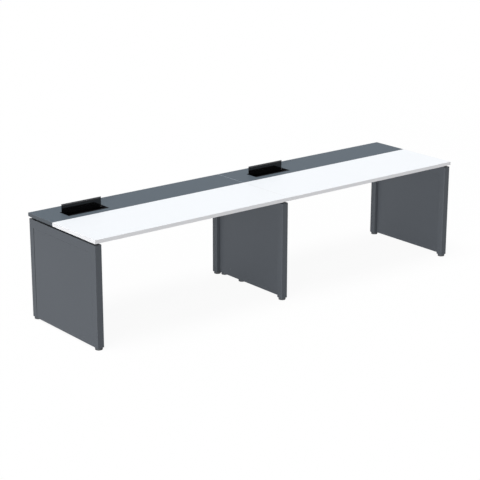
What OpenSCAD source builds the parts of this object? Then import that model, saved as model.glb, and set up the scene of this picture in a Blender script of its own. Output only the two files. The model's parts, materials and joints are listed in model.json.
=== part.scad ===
// Benching desk for two: two bays of tops side by side on three panel legs
// Origin on the floor under the middle of the tops, +Z up
// X runs along the desk, Y from the users' side to the rear

/* [Tops] */
// Length of one bay, for one user
bay_w = 1600; // [1200:10:1800]
// Depth of the whole desk
desk_d = 800; // [760:5:900]
// Height of the work surface above the floor
desk_h = 745; // [700:5:780]
// Depth of the rear tops, the white worktops take the rest
rear_d = 300; // [280:5:320]
// Thickness of the tops
top_t = 25; // [22:1:30]
// Thickness of the edge bands
band_t = 1.5; // [1:0.5:2]
// Joint between neighbouring tops
joint_gap = 0.4; // [0.2:0.1:1]

/* [Legs] */
// Width of a leg along the desk
leg_w = 50; // [45:1:60]
// Depth of a post, front to rear
post_d = 50; // [45:1:60]
// Height of the top rail between the posts
rail_h = 58; // [56:1:65]
// Wall of the leg tubes
leg_wall = 2; // [1.5:0.5:3]
// Outer corner radius of the posts
post_r = 3; // [2.5:0.5:5]
// End legs' distance from the ends of the tops
leg_inset_x = 3; // [0:1:20]
// Posts' distance from the front and rear edges of the tops
leg_inset_y = 6; // [0:1:20]
// Open gap between a leg and the tops
shadow_gap = 14; // [10:1:20]
// Height of a leg's underside above the floor
leg_lift = 15.5; // [15:0.5:18]

/* [Leg panels] */
// Sheet of the panels
sheet_t = 1.2; // [1:0.1:1.5]
// How far a panel's inner side lies behind the posts' inner side
panel_recess = 28; // [22:1:30]
// Joint between a panel and the front post
panel_gap_front = 0.5; // [0.3:0.1:1]
// Joint between a panel and the rear post
panel_gap_rear = 1.3; // [0.5:0.1:2]
// Joint between a panel and the rail
panel_gap_top = 0.6; // [0.3:0.1:1]

/* [Beams] */
// Height of the beams
beam_h = 50; // [40:1:54]
// Depth of the front and rear beams
beam_d = 30; // [25:1:34]
// Depth of the beam under the seam
seam_beam_d = 60; // [56:1:70]
// Wall of the beams
beam_wall = 2; // [1.5:0.5:3]
// Front beam's middle, from the front edge of the tops
front_beam_back = 215; // [200:5:260]
// Rear beam's middle, from the rear edge of the tops
rear_beam_in = 95; // [90:1:100]
// Thickness of the end plates
end_plate_t = 3; // [2:0.5:4]
// How far an end plate stands out on each side of its beam
ear_w = 25; // [22:1:28]

/* [Cable flaps] */
// Width of the flap frame
box_w = 320; // [280:5:400]
// Depth of the flap frame
box_d = 112; // [108:1:116]
// Frame's distance from the left end of its bay
box_off = 165; // [120:1:400]
// Frame's distance from the rear edge of the tops
box_in = 130; // [126:1:135]
// Rim's thickness above the tops
rim_t = 1.2; // [0.8:0.1:2]
// How far the rim laps over the tops
rim_lap = 1.5; // [1:0.1:2]
// Wall of the flap frame
frame_wall = 1.2; // [1:0.1:1.5]
// Thickness of the flap plate
flap_t = 3; // [2:0.5:3.5]
// Reach of the flap in front of its pins, with its lip
flap_reach = 69; // [60:0.5:69]
// Tail of the flap behind its pins
flap_tail = 18; // [12:0.5:18]
// Height of the closed flap's upper face above its pins
flap_rise = 10; // [9.5:0.1:10]
// Width of the lip strip
lip_w = 14; // [10:0.5:20]
// Radius of the hinge pins
pin_r = 2.5; // [2:0.1:3]

/* [Cable tub, tray and riser] */
// Depth of the tub below the tops
tub_h = 70; // [60:1:90]
// Width of the tray, front to rear
tray_w = 144; // [130:1:148]
// Height of the tray's sides
tray_h = 50; // [40:1:70]
// Depth of the tray's floor below the tops
tray_drop = 135; // [130:5:160]
// Width of the riser, front to rear
riser_w = 242; // [200:1:244]
// Depth of the riser, along the desk
riser_t = 50; // [46:1:52]
// Gap between the riser's top and the trays
riser_gap = 15; // [5:5:150]

/* [Levelling glides] */
// Radius of a glide's pad
pad_r = 25; // [20:0.5:25]
// Height of a glide's pad
pad_h = 15.2; // [14:0.1:15.2]
// Radius of a glide's stud
stud_r = 5; // [4:0.5:5]
// How far a glide screws out
glide_travel = 12; // [6:1:15]

/* [Hidden] */
$fn = 48;

// Clearances and the overrun of every cut
fit_gap = 0.3;
run_gap = 0.05;
hole_gap = 0.3;
over = 1;

// Tops
y_front = -desk_d / 2;
y_rear = desk_d / 2;
y_seam = y_rear - rear_d;
z_under = desk_h - top_t;
half_joint = joint_gap / 2;

// Legs: left, middle and right, by the lower X face of each
leg_top = z_under - shadow_gap;
post_y0 = y_front + leg_inset_y;
post_y1 = y_rear - leg_inset_y;
inner_y0 = post_y0 + post_d;
inner_y1 = post_y1 - post_d;
rail_z = leg_top - rail_h;
panel_t = leg_w - panel_recess;
left_x = -bay_w + leg_inset_x;
mid_x = -riser_t / 2 - sheet_t - panel_recess;
right_x = bay_w - leg_inset_x - leg_w;
leg_x = [left_x, mid_x, right_x];
post_y = [post_y0 + post_d / 2, post_y1 - post_d / 2];

// Panels
panel_y0 = inner_y0 + panel_gap_front;
panel_y1 = inner_y1 - panel_gap_rear;
panel_z1 = rail_z - panel_gap_top;
panel_h = panel_z1 - leg_lift;
panel_screw_share = [0.12, 0.5, 0.88];
screw_r = 2.5;
screw_head_r = 4.75;
screw_head_h = 2.8;
screw_grip = 8;
// Distance of the panel screws from the panel's outer face
screw_in = panel_t / 2;

// Beams: middle, depth and the bays' ends
front_y = y_front + front_beam_back;
rear_y = y_rear - rear_beam_in;
beam_z = leg_top - beam_h;
bolt_r = 4;
bolt_head_r = 6.5;
bolt_head_h = 5;
bolt_l = 18;
bolt_z = beam_z + beam_h / 2;
nut_r = 7.5;
nut_h = 6.5;
bay_x0 = [left_x + leg_w, mid_x + leg_w];
bay_x1 = [mid_x, right_x];
beams = [[front_y, beam_d], [y_seam, seam_beam_d], [rear_y, beam_d]];

// Screws that hold the tops, with a spacer round each
top_screw_r = 2.4;
top_screw_in = 17;
spacer_r = 12;
access_r = 6;
fix_share = [0.06, 0.56, 0.94];
seam_fix = seam_beam_d / 4;
fix_y = [[front_y], [y_seam - seam_fix, y_seam + seam_fix], [rear_y]];

// Cable flap frames
box_x = [-bay_w + box_off, box_off];
box_y1 = y_rear - box_in;
box_y0 = box_y1 - box_d;
cut_in = rim_lap;
wall_in = rim_lap + fit_gap;
clear_in = wall_in + frame_wall;
frame_drop = 8;
rim_top = desk_h + rim_t;
// Pins: their height, and their distance from the frame's rear wall
pin_z = rim_top - flap_rise;
pin_in = 23.5;
pin_y = box_y1 - clear_in - pin_in;
boss_r = 6;
boss_t = 3;
ear_t = 6;
ear_r = 5.5;
ear_gap = 0.4;
plate_side = 0.6;
lip_t = 4;
lip_lap = 3;
lip_bead = 1;
lip_end = 7;
// Sill that fills the frame in front of the closed flap
sill_t = 3;
sill_gap = 1.5;
sill_y = pin_y - flap_reach - sill_gap;
stop_t = 4.4;
stop_h = 6;
ledge_w = 7;
ledge_reach = 6;
ledge_h = 6;

// Cable tubs
tub_wall = 1.2;
tub_side = 3;
tub_flange = 22;
tub_slot_share = 0.6;
tub_slot_h = 40;
tub_floor_z = z_under - tub_h;
socket_pitch = 240;
socket_hole_r = 2.75;
tub_screw_r = 2;
tub_screw_in = 14;
tub_hole_share = 0.333;

// Cable trays and the straps that carry them
tray_wall = 1.2;
tray_end = 60;
tray_r = 3;
tray_z = z_under - tray_drop;
strap_t = 3;
strap_w = 25;
strap_share = [0.02, 0.62, 0.95];
strap_y0 = y_seam + seam_beam_d / 2;
strap_y1 = rear_y - beam_d / 2;
tray_y = (strap_y0 + strap_y1) / 2;
tray_bolt_r = 3;
tray_bolt_head_r = 5;
tray_bolt_head_h = 3;
tray_bolt_l = 12;

// Riser: stands behind the middle leg's panel
riser_x0 = mid_x + panel_recess + sheet_t;
riser_x1 = riser_x0 + riser_t;
riser_xc = (riser_x0 + riser_x1) / 2;
riser_y1 = panel_y1 - sheet_t - screw_head_h - fit_gap;
riser_y0 = riser_y1 - riser_w;
riser_top = tray_z - riser_gap;
riser_foot_in = 20;
riser_tab = 44;
riser_lip = 8;
riser_rivet_share = [0.1, 0.9];
riser_foot_y = [riser_y0 + riser_foot_in, riser_y1 - riser_foot_in];
rivet_r = 2.4;
rivet_head_r = 4.75;
rivet_head_h = 1.5;
foot_stud_r = 4;
foot_stud_l = 12;

// Levelling glides
collar_r = 9.8;
collar_h = 4.8;
collar_room = 10.6;
pad_floor = 4;
pivot_r = 6;
insert_h = 30;
stud_top = 58;
pad_chamfer = 1.5;
glide_x = [for (x = leg_x) x + leg_w / 2];

module block(x0, x1, y0, y1, z0, z1) {
    translate([x0, y0, z0])
        cube([x1 - x0, y1 - y0, z1 - z0]);
}

// A rod from a point along +X, -X, +Y, -Y, +Z or -Z
module rod(p, dir, r, l) {
    turn = dir == "+x" ? [0, 90, 0] : dir == "-x" ? [0, -90, 0]
         : dir == "+y" ? [-90, 0, 0] : dir == "-y" ? [90, 0, 0]
         : dir == "-z" ? [180, 0, 0] : [0, 0, 0];
    translate(p)
        rotate(turn)
            cylinder(r = r, h = l);
}

// A screw whose head's seat is at p, its shank running along dir
module screw(p, dir, r, l, head_r, head_h) {
    back = dir == "+x" ? "-x" : dir == "-x" ? "+x" : dir == "+y" ? "-y"
         : dir == "-y" ? "+y" : dir == "+z" ? "-z" : "+z";
    rod(p, dir, r, l);
    rod(p, back, head_r, head_h);
}

// Tops
module board(x0, x1, y0, y1) {
    block(x0 + band_t, x1 - band_t, y0 + band_t, y1 - band_t, z_under, desk_h);
}

module band(x0, x1, y0, y1) {
    difference() {
        block(x0, x1, y0, y1, z_under, desk_h);
        block(x0 + band_t, x1 - band_t, y0 + band_t, y1 - band_t, z_under - over, desk_h + over);
    }
}

// The ends of a bay's tops, by bay
top_x0 = [-bay_w, half_joint];
top_x1 = [-half_joint, bay_w];

function fix_x(bay) = [for (s = fix_share) bay_x0[bay] + s * (bay_x1[bay] - bay_x0[bay])];

module pilot_holes(bay, row) {
    for (x = fix_x(bay), y = row)
        rod([x, y, z_under - over], "+z", top_screw_r + run_gap, top_screw_in + over);
}

module white_top(bay) {
    color("#F6F9FD")
        difference() {
            board(top_x0[bay], top_x1[bay], y_front, y_seam - half_joint);
            pilot_holes(bay, [front_y, y_seam - seam_fix]);
        }
}

module rear_top(bay) {
    bx = box_x[bay];
    color("#6B7178")
        difference() {
            board(top_x0[bay], top_x1[bay], y_seam + half_joint, y_rear);
            pilot_holes(bay, [y_seam + seam_fix, rear_y]);
            block(bx + cut_in, bx + box_w - cut_in, box_y0 + cut_in, box_y1 - cut_in,
                  z_under - over, desk_h + over);
            for (p = tub_holes(bay))
                rod([p[0], p[1], z_under - over], "+z", tub_screw_r + run_gap, tub_screw_in + over);
        }
}

module white_bands() {
    color("#F2F4F7")
        for (bay = [0, 1])
            band(top_x0[bay], top_x1[bay], y_front, y_seam - half_joint);
}

module rear_bands() {
    color("#666C73")
        for (bay = [0, 1])
            band(top_x0[bay], top_x1[bay], y_seam + half_joint, y_rear);
}

// Legs
module rounded_square(w, d, r) {
    translate([r, 0])
        square([w - 2 * r, d]);
    translate([0, r])
        square([w, d - 2 * r]);
    for (x = [r, w - r], y = [r, d - r])
        translate([x, y])
            circle(r = r);
}

module post(x, y) {
    difference() {
        translate([x, y, leg_lift])
            linear_extrude(height = leg_top - leg_lift)
                rounded_square(leg_w, post_d, post_r);
        block(x + leg_wall, x + leg_w - leg_wall, y + leg_wall, y + post_d - leg_wall,
              leg_lift - over, leg_top - leg_wall);
    }
}

module rail(x) {
    difference() {
        block(x, x + leg_w, inner_y0 - post_r, inner_y1 + post_r, rail_z, leg_top);
        block(x + leg_wall, x + leg_w - leg_wall, inner_y0, inner_y1,
              rail_z + leg_wall, leg_top - leg_wall);
    }
}

// Beam bolts on one face of a rail
module rail_holes(x, dir) {
    for (b = beams, s = [-1, 1])
        rod([x, b[0] + s * bolt_out(b), bolt_z], dir, bolt_r + hole_gap, leg_wall + over);
}

function bolt_out(b) = b[1] / 2 + ear_w / 2;

// Holes for the screws between a leg's panel and its posts, sx is the middle of the panel
module panel_screw_holes(sx) {
    for (s = panel_screw_share) {
        z = leg_lift + s * panel_h;
        rod([sx, inner_y0 + over, z], "-y", screw_r + run_gap, leg_wall + 2 * over);
        rod([sx, inner_y1 - over, z], "+y", screw_r + run_gap, leg_wall + 2 * over);
    }
}

// Middle of the panel's thickness, by leg
panel_mid = [left_x + screw_in, mid_x + panel_recess + screw_in, right_x + leg_w - screw_in];

module leg_frame(i) {
    x = leg_x[i];
    color("#5F646B")
        difference() {
            union() {
                post(x, post_y0);
                post(x, inner_y1);
                rail(x);
            }
            if (i < 2)
                rail_holes(x + leg_w + over, "-x");
            if (i > 0)
                rail_holes(x - over, "+x");
            panel_screw_holes(panel_mid[i]);
        }
}

// A folded sheet panel: its face at x, its rims running along dir
module pan(x, dir, depth, notch) {
    x_open = x + dir * depth;
    lo = min(x, x_open);
    hi = max(x, x_open);
    cut_lo = dir > 0 ? x + sheet_t : x_open - over;
    cut_hi = dir > 0 ? x_open + over : x - sheet_t;
    difference() {
        block(lo, hi, panel_y0, panel_y1, leg_lift, panel_z1);
        block(cut_lo, cut_hi, panel_y0 + sheet_t, panel_y1 - sheet_t,
              leg_lift + sheet_t, panel_z1 - sheet_t);
        if (notch)
            block(cut_lo, cut_hi, riser_y0 - fit_gap, panel_y1 - sheet_t,
                  leg_lift - over, leg_lift + sheet_t + over);
        for (s = panel_screw_share, y = [panel_y0 - over, panel_y1 - sheet_t - over])
            rod([x + dir * screw_in, y, leg_lift + s * panel_h], "+y",
                screw_r + hole_gap, sheet_t + 2 * over);
    }
}

rim_depth = panel_t - sheet_t;

module left_outer_panel() {
    color("#62666E")
        pan(left_x, 1, rim_depth, false);
}

module right_outer_panel() {
    color("#62666E")
        pan(right_x + leg_w, -1, rim_depth, false);
}

module mid_leg_panel() {
    color("#565A60")
        difference() {
            pan(mid_x + panel_recess, 1, panel_t, true);
            rivet_holes();
        }
}

module inner_panel(x) {
    block(x, x + sheet_t, panel_y0, panel_y1, leg_lift, panel_z1);
}

module left_inner_panel() {
    color("#565A60")
        inner_panel(left_x + rim_depth);
}

module right_inner_panel() {
    color("#565A60")
        inner_panel(right_x + panel_recess);
}

module panel_screws() {
    color("#8C8F93")
        for (x = panel_mid, s = panel_screw_share) {
            z = leg_lift + s * panel_h;
            screw([x, panel_y0 + sheet_t, z], "-y", screw_r, screw_grip, screw_head_r, screw_head_h);
            screw([x, panel_y1 - sheet_t, z], "+y", screw_r, screw_grip, screw_head_r, screw_head_h);
        }
}

module post_inserts() {
    side = leg_w - 2 * leg_wall - 2 * fit_gap;
    depth = post_d - 2 * leg_wall - 2 * fit_gap;
    color("#2B2D30")
        for (x = glide_x, y = post_y)
            difference() {
                block(x - side / 2, x + side / 2, y - depth / 2, y + depth / 2,
                      leg_lift, leg_lift + insert_h);
                rod([x, y, leg_lift - over], "+z", stud_r + run_gap, insert_h + 2 * over);
                rod([x, y, leg_lift - over], "+z", collar_room, collar_h + 2 * fit_gap + over);
            }
}

// Beams
module beam(bay, b, row) {
    x0 = bay_x0[bay];
    x1 = bay_x1[bay];
    y0 = b[0] - b[1] / 2;
    y1 = b[0] + b[1] / 2;
    color("#3A3D41")
        difference() {
            union() {
                block(x0, x1, y0, y1, beam_z, leg_top);
                for (x = [x0, x1 - end_plate_t])
                    block(x, x + end_plate_t, y0 - ear_w, y1 + ear_w, beam_z, leg_top);
            }
            block(x0 + end_plate_t, x1 - end_plate_t, y0 + beam_wall, y1 - beam_wall,
                  beam_z + beam_wall, leg_top - beam_wall);
            for (x = [x0 - over, x1 - end_plate_t - over], s = [-1, 1])
                rod([x, b[0] + s * bolt_out(b), bolt_z], "+x",
                    bolt_r + hole_gap, end_plate_t + 2 * over);
            for (x = fix_x(bay), y = fix_y[row]) {
                rod([x, y, leg_top - beam_wall - over], "+z",
                    top_screw_r + hole_gap, beam_wall + 2 * over);
                rod([x, y, beam_z - over], "+z", access_r, beam_wall + 2 * over);
            }
            if (row > 0)
                for (x = strap_x(bay))
                    rod([x, row == 1 ? y1 + over : y0 - over, bolt_z], row == 1 ? "-y" : "+y",
                        tray_bolt_r + hole_gap, beam_wall + 2 * over);
        }
}

module beam_bolts() {
    color("#8C8F93")
        for (bay = [0, 1], b = beams, s = [-1, 1]) {
            y = b[0] + s * bolt_out(b);
            screw([bay_x0[bay] + end_plate_t, y, bolt_z], "-x", bolt_r, bolt_l, bolt_head_r, bolt_head_h);
            screw([bay_x1[bay] - end_plate_t, y, bolt_z], "+x", bolt_r, bolt_l, bolt_head_r, bolt_head_h);
        }
}

module rail_nut(p, dir) {
    difference() {
        rod(p, dir, nut_r, nut_h, $fn = 6);
        rod(p - [dir == "+x" ? over : -over, 0, 0], dir, bolt_r + run_gap, nut_h + 2 * over);
    }
}

module rail_nuts() {
    color("#A0A3A6")
        for (bay = [0, 1], b = beams, s = [-1, 1]) {
            y = b[0] + s * bolt_out(b);
            rail_nut([bay_x0[bay] - leg_wall, y, bolt_z], "-x");
            rail_nut([bay_x1[bay] + leg_wall, y, bolt_z], "+x");
        }
}

// Spacers between the frame and the tops, plain ones on the posts
module top_spacers() {
    color("#2B2D30") {
        for (bay = [0, 1], row = [0, 1, 2], x = fix_x(bay), y = fix_y[row])
            difference() {
                rod([x, y, leg_top], "+z", spacer_r, shadow_gap);
                rod([x, y, leg_top - over], "+z", top_screw_r + hole_gap, shadow_gap + 2 * over);
            }
        for (x = glide_x, y = post_y)
            rod([x, y, leg_top], "+z", spacer_r, shadow_gap);
    }
}

module top_screws() {
    grip = beam_wall + shadow_gap + top_screw_in;
    color("#B4B7BA")
        for (bay = [0, 1], row = [0, 1, 2], x = fix_x(bay), y = fix_y[row])
            screw([x, y, leg_top - beam_wall], "+z", top_screw_r, grip - fit_gap,
                  screw_head_r, screw_head_h);
}

// Cable flaps: frame, flap, lip and pins
frame_lo = z_under - frame_drop;

module frame_ends(bay, depth, y0, y1, z0, z1) {
    bx = box_x[bay];
    block(bx + clear_in - over, bx + clear_in + depth, y0, y1, z0, z1);
    block(bx + box_w - clear_in - depth, bx + box_w - clear_in + over, y0, y1, z0, z1);
}

module flap_frame(bay) {
    bx = box_x[bay];
    lo = clear_in;
    color("#141517")
        difference() {
            union() {
                difference() {
                    union() {
                        block(bx, bx + box_w, box_y0, box_y1, desk_h, rim_top);
                        block(bx + wall_in, bx + box_w - wall_in, box_y0 + wall_in, box_y1 - wall_in,
                              frame_lo, rim_top);
                    }
                    block(bx + lo, bx + box_w - lo, box_y0 + lo, box_y1 - lo,
                          frame_lo - over, rim_top + over);
                }
                block(bx + wall_in, bx + box_w - wall_in, box_y0 + wall_in, sill_y,
                      rim_top - sill_t, rim_top);
                // Bosses for the pins, stops for the open flap, ledges for the closed one
                for (x = [bx + lo - frame_wall, bx + box_w - lo - boss_t])
                    rod([x, pin_y, pin_z], "+x", boss_r, boss_t + frame_wall);
                frame_ends(bay, boss_t, pin_y + flap_rise - flap_t - fit_gap - stop_t,
                           pin_y + flap_rise - flap_t - fit_gap,
                           pin_z - flap_tail, pin_z - flap_tail + stop_h);
                frame_ends(bay, ledge_reach, box_y0 + lo - frame_wall, sill_y + ledge_w,
                           pin_z + flap_rise - lip_t - fit_gap - ledge_h,
                           pin_z + flap_rise - lip_t - fit_gap);
            }
            for (x = [bx + wall_in - over, bx + box_w - wall_in + over])
                rod([x, pin_y, pin_z], x < bx + box_w / 2 ? "+x" : "-x",
                    pin_r + run_gap, frame_wall + boss_t + 2 * over);
        }
}

// Places a closed flap's piece in the open pose, about the pins
module opened() {
    translate([0, pin_y, pin_z])
        rotate([-90, 0, 0])
            children();
}

ear_in = clear_in + boss_t + ear_gap;

module flap(bay) {
    bx = box_x[bay];
    px0 = bx + clear_in + plate_side;
    px1 = bx + box_w - clear_in - plate_side;
    under = flap_rise - flap_t;
    color("#18191B")
        opened()
            difference() {
                union() {
                    block(px0, px1, lip_w - flap_reach, flap_tail, under, flap_rise);
                    for (x = [bx + ear_in, bx + box_w - ear_in - ear_t]) {
                        rod([x, 0, 0], "+x", ear_r, ear_t);
                        block(x, x + ear_t, -ear_r, ear_r, 0, under + flap_t / 2);
                    }
                }
                for (x = [bx + ear_in, bx + box_w - ear_in - ear_t])
                    rod([x - over, 0, 0], "+x", pin_r + run_gap, ear_t + 2 * over);
            }
}

module flap_lip(bay) {
    bx = box_x[bay];
    px0 = bx + clear_in + plate_side;
    px1 = bx + box_w - clear_in - plate_side;
    base = flap_rise - flap_t;
    color("#565A5F")
        opened() {
            block(px0, px1, -flap_reach, lip_w - flap_reach, flap_rise - lip_t, flap_rise);
            block(px0 + lip_end, px1 - lip_end, lip_w - flap_reach - lip_bead,
                  lip_w - flap_reach + lip_lap, flap_rise - lip_t - lip_bead, base);
        }
}

module flap_pins() {
    pin_l = frame_wall + boss_t + ear_gap + ear_t;
    color("#B4B7BA")
        for (bay = [0, 1]) {
            rod([box_x[bay] + wall_in, pin_y, pin_z], "+x", pin_r, pin_l);
            rod([box_x[bay] + box_w - wall_in, pin_y, pin_z], "-x", pin_r, pin_l);
        }
}

// Cable tubs under the flaps
function tub_x0(bay) = box_x[bay] - tub_side;
function tub_x1(bay) = box_x[bay] + box_w + tub_side;
function tub_holes(bay) = [for (x = [tub_x0(bay) - tub_flange / 2, tub_x1(bay) + tub_flange / 2],
                                s = [-1, 1])
                              [x, box_y0 + box_d / 2 + s * tub_hole_share * box_d]];

module cable_tub(bay) {
    x0 = tub_x0(bay);
    x1 = tub_x1(bay);
    y0 = box_y0 - tub_side;
    y1 = box_y1 + tub_side;
    slot_half = tub_slot_share * box_d / 2;
    yc = box_y0 + box_d / 2;
    color("#141517")
        difference() {
            union() {
                block(x0, x1, y0, y1, tub_floor_z, z_under);
                block(x0 - tub_flange, x1 + tub_flange, y0, y1, z_under - tub_wall, z_under);
            }
            block(x0 + tub_wall, x1 - tub_wall, y0 + tub_wall, y1 - tub_wall,
                  tub_floor_z + tub_wall, z_under + over);
            block(x0 - over, x1 + over, yc - slot_half, yc + slot_half,
                  tub_floor_z + tub_wall, tub_floor_z + tub_wall + tub_slot_h);
            for (p = tub_holes(bay))
                rod([p[0], p[1], z_under - tub_wall - over], "+z",
                    tub_screw_r + hole_gap, tub_wall + 2 * over);
            for (s = [-1, 1])
                rod([(x0 + x1) / 2 + s * socket_pitch / 2, yc, tub_floor_z - over], "+z",
                    socket_hole_r, tub_wall + 2 * over);
        }
}

module tub_screws() {
    color("#8C8F93")
        for (bay = [0, 1], p = tub_holes(bay))
            screw([p[0], p[1], z_under - tub_wall], "+z", tub_screw_r,
                  tub_wall + tub_screw_in - fit_gap, screw_head_r, screw_head_h);
}

// Cable trays
function tray_x0(bay) = bay_x0[bay] + tray_end;
function tray_x1(bay) = bay_x1[bay] - tray_end;
function strap_x(bay) = [for (s = strap_share) tray_x0(bay) + s * (tray_x1(bay) - tray_x0(bay))];

module cable_tray(bay) {
    x0 = tray_x0(bay);
    x1 = tray_x1(bay);
    color("#2B2D30")
        translate([x0, 0, 0])
            rotate([90, 0, 90])
                linear_extrude(height = x1 - x0)
                    difference() {
                        tray_section(tray_w, tray_h, tray_r);
                        translate([0, tray_wall])
                            tray_section(tray_w - 2 * tray_wall, tray_h, tray_r - tray_wall);
                    }
}

module tray_section(w, h, r) {
    translate([tray_y - w / 2, tray_z + r])
        square([w, h - r]);
    translate([tray_y - w / 2 + r, tray_z])
        square([w - 2 * r, r]);
    for (s = [-1, 1])
        translate([tray_y + s * (w / 2 - r), tray_z + r])
            circle(r = r);
}

module tray_brackets() {
    color("#3A3D41")
        for (bay = [0, 1], x = strap_x(bay))
            difference() {
                block(x - strap_w / 2, x + strap_w / 2, strap_y0, strap_y1, tray_z - strap_t, leg_top);
                block(x - strap_w / 2 - over, x + strap_w / 2 + over,
                      strap_y0 + strap_t, strap_y1 - strap_t, tray_z, leg_top + over);
                rod([x, strap_y0 - over, bolt_z], "+y",
                    tray_bolt_r + hole_gap, strap_y1 - strap_y0 + 2 * over);
            }
}

module tray_bolts() {
    color("#8C8F93")
        for (bay = [0, 1], x = strap_x(bay)) {
            screw([x, strap_y0 + strap_t, bolt_z], "-y", tray_bolt_r, tray_bolt_l,
                  tray_bolt_head_r, tray_bolt_head_h);
            screw([x, strap_y1 - strap_t, bolt_z], "+y", tray_bolt_r, tray_bolt_l,
                  tray_bolt_head_r, tray_bolt_head_h);
        }
}

// Riser behind the middle leg
riser_h = riser_top - leg_lift;

module rivet_holes() {
    for (s = riser_rivet_share)
        rod([riser_x0 + sheet_t + over, (riser_y0 + riser_y1) / 2, leg_lift + s * riser_h], "-x",
            rivet_r + run_gap, 2 * sheet_t + 2 * over);
}

module riser_channel() {
    x_open = riser_x1 - sheet_t - fit_gap;
    color("#565A60")
        difference() {
            block(riser_x0, x_open, riser_y0, riser_y1, leg_lift, riser_top);
            block(riser_x0 + sheet_t, x_open + over, riser_y0 + sheet_t, riser_y1 - sheet_t,
                  leg_lift + sheet_t, riser_top + over);
            // The way for the cables between the two foot tabs
            block(riser_x0 + sheet_t, x_open + over, riser_y0 + riser_tab, riser_y1 - riser_tab,
                  leg_lift - over, leg_lift + sheet_t + over);
            rivet_holes();
            for (y = riser_foot_y)
                rod([riser_xc, y, leg_lift - over], "+z", foot_stud_r + run_gap, sheet_t + 2 * over);
        }
}

module riser_cover() {
    x1 = riser_x1;
    x0 = x1 - sheet_t;
    color("#62666E")
        difference() {
            block(x0 - riser_lip, x1, riser_y0 + sheet_t + fit_gap, riser_y1 - sheet_t - fit_gap,
                  leg_lift + sheet_t + fit_gap, riser_top);
            block(x0 - riser_lip - over, x0, riser_y0 + 2 * sheet_t + fit_gap,
                  riser_y1 - 2 * sheet_t - fit_gap, leg_lift, riser_top + over);
        }
}

module riser_rivets() {
    color("#8C8F93")
        for (s = riser_rivet_share)
            screw([riser_x0 + sheet_t, (riser_y0 + riser_y1) / 2, leg_lift + s * riser_h], "-x",
                  rivet_r, 2 * sheet_t, rivet_head_r, rivet_head_h);
}

module riser_feet() {
    color("#4A4D51")
        for (y = riser_foot_y) {
            pad_solid(riser_xc, y, leg_lift);
            rod([riser_xc, y, leg_lift], "+z", foot_stud_r, foot_stud_l);
        }
}

// Levelling glides
module pad_solid(x, y, h) {
    translate([x, y, 0])
        cylinder(r1 = pad_r - pad_chamfer, r2 = pad_r, h = pad_chamfer);
    rod([x, y, pad_chamfer], "+z", pad_r, h - pad_chamfer);
}

module glide_pad(i, j) {
    x = glide_x[i];
    y = post_y[j];
    color("#4A4D51")
        difference() {
            pad_solid(x, y, pad_h);
            rod([x, y, pad_floor], "+z", pivot_r + run_gap, pad_h);
        }
}

module glide_stud(i, j) {
    x = glide_x[i];
    y = post_y[j];
    collar_z = pad_h + fit_gap / 2;
    color("#B4B7BA") {
        rod([x, y, pad_floor + run_gap], "+z", pivot_r, collar_z - pad_floor);
        translate([x, y, collar_z])
            cylinder(r = collar_r, h = collar_h, $fn = 6);
        rod([x, y, collar_z], "+z", stud_r, stud_top - collar_z);
    }
}

white_top(0);  // white_top_left
white_top(1);  // white_top_right
rear_top(0);  // rear_top_left
rear_top(1);  // rear_top_right
white_bands();
rear_bands();
leg_frame(0);  // left_leg_frame
leg_frame(1);  // mid_leg_frame
leg_frame(2);  // right_leg_frame
left_outer_panel();
left_inner_panel();
mid_leg_panel();
right_outer_panel();
right_inner_panel();
panel_screws();
post_inserts();
beam(0, beams[0], 0);  // front_beam_left
beam(1, beams[0], 0);  // front_beam_right
beam(0, beams[1], 1);  // seam_beam_left
beam(1, beams[1], 1);  // seam_beam_right
beam(0, beams[2], 2);  // rear_beam_left
beam(1, beams[2], 2);  // rear_beam_right
beam_bolts();
rail_nuts();
top_spacers();
top_screws();
flap_frame(0);  // flap_frame_left
flap_frame(1);  // flap_frame_right
flap(0);  // flap_left
flap(1);  // flap_right
flap_lip(0);  // flap_lip_left
flap_lip(1);  // flap_lip_right
flap_pins();
cable_tub(0);  // cable_tub_left
cable_tub(1);  // cable_tub_right
tub_screws();
cable_tray(0);  // cable_tray_left
cable_tray(1);  // cable_tray_right
tray_brackets();
tray_bolts();
riser_channel();
riser_cover();
riser_rivets();
riser_feet();
glide_pad(0, 0);  // pad_left_front
glide_pad(0, 1);  // pad_left_rear
glide_pad(1, 0);  // pad_mid_front
glide_pad(1, 1);  // pad_mid_rear
glide_pad(2, 0);  // pad_right_front
glide_pad(2, 1);  // pad_right_rear
glide_stud(0, 0);  // stud_left_front
glide_stud(0, 1);  // stud_left_rear
glide_stud(1, 0);  // stud_mid_front
glide_stud(1, 1);  // stud_mid_rear
glide_stud(2, 0);  // stud_right_front
glide_stud(2, 1);  // stud_right_rear
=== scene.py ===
# %% [markdown]
# A bench desk for two, dressed for its picture.
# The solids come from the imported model, in metres, with the origin on the floor under the middle of the tops.
# X runs along the desk, Y from the users' side to the rear, and Z is up.
# Each cell below dresses one piece, or one finish, and says what it is on the real desk.

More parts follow.
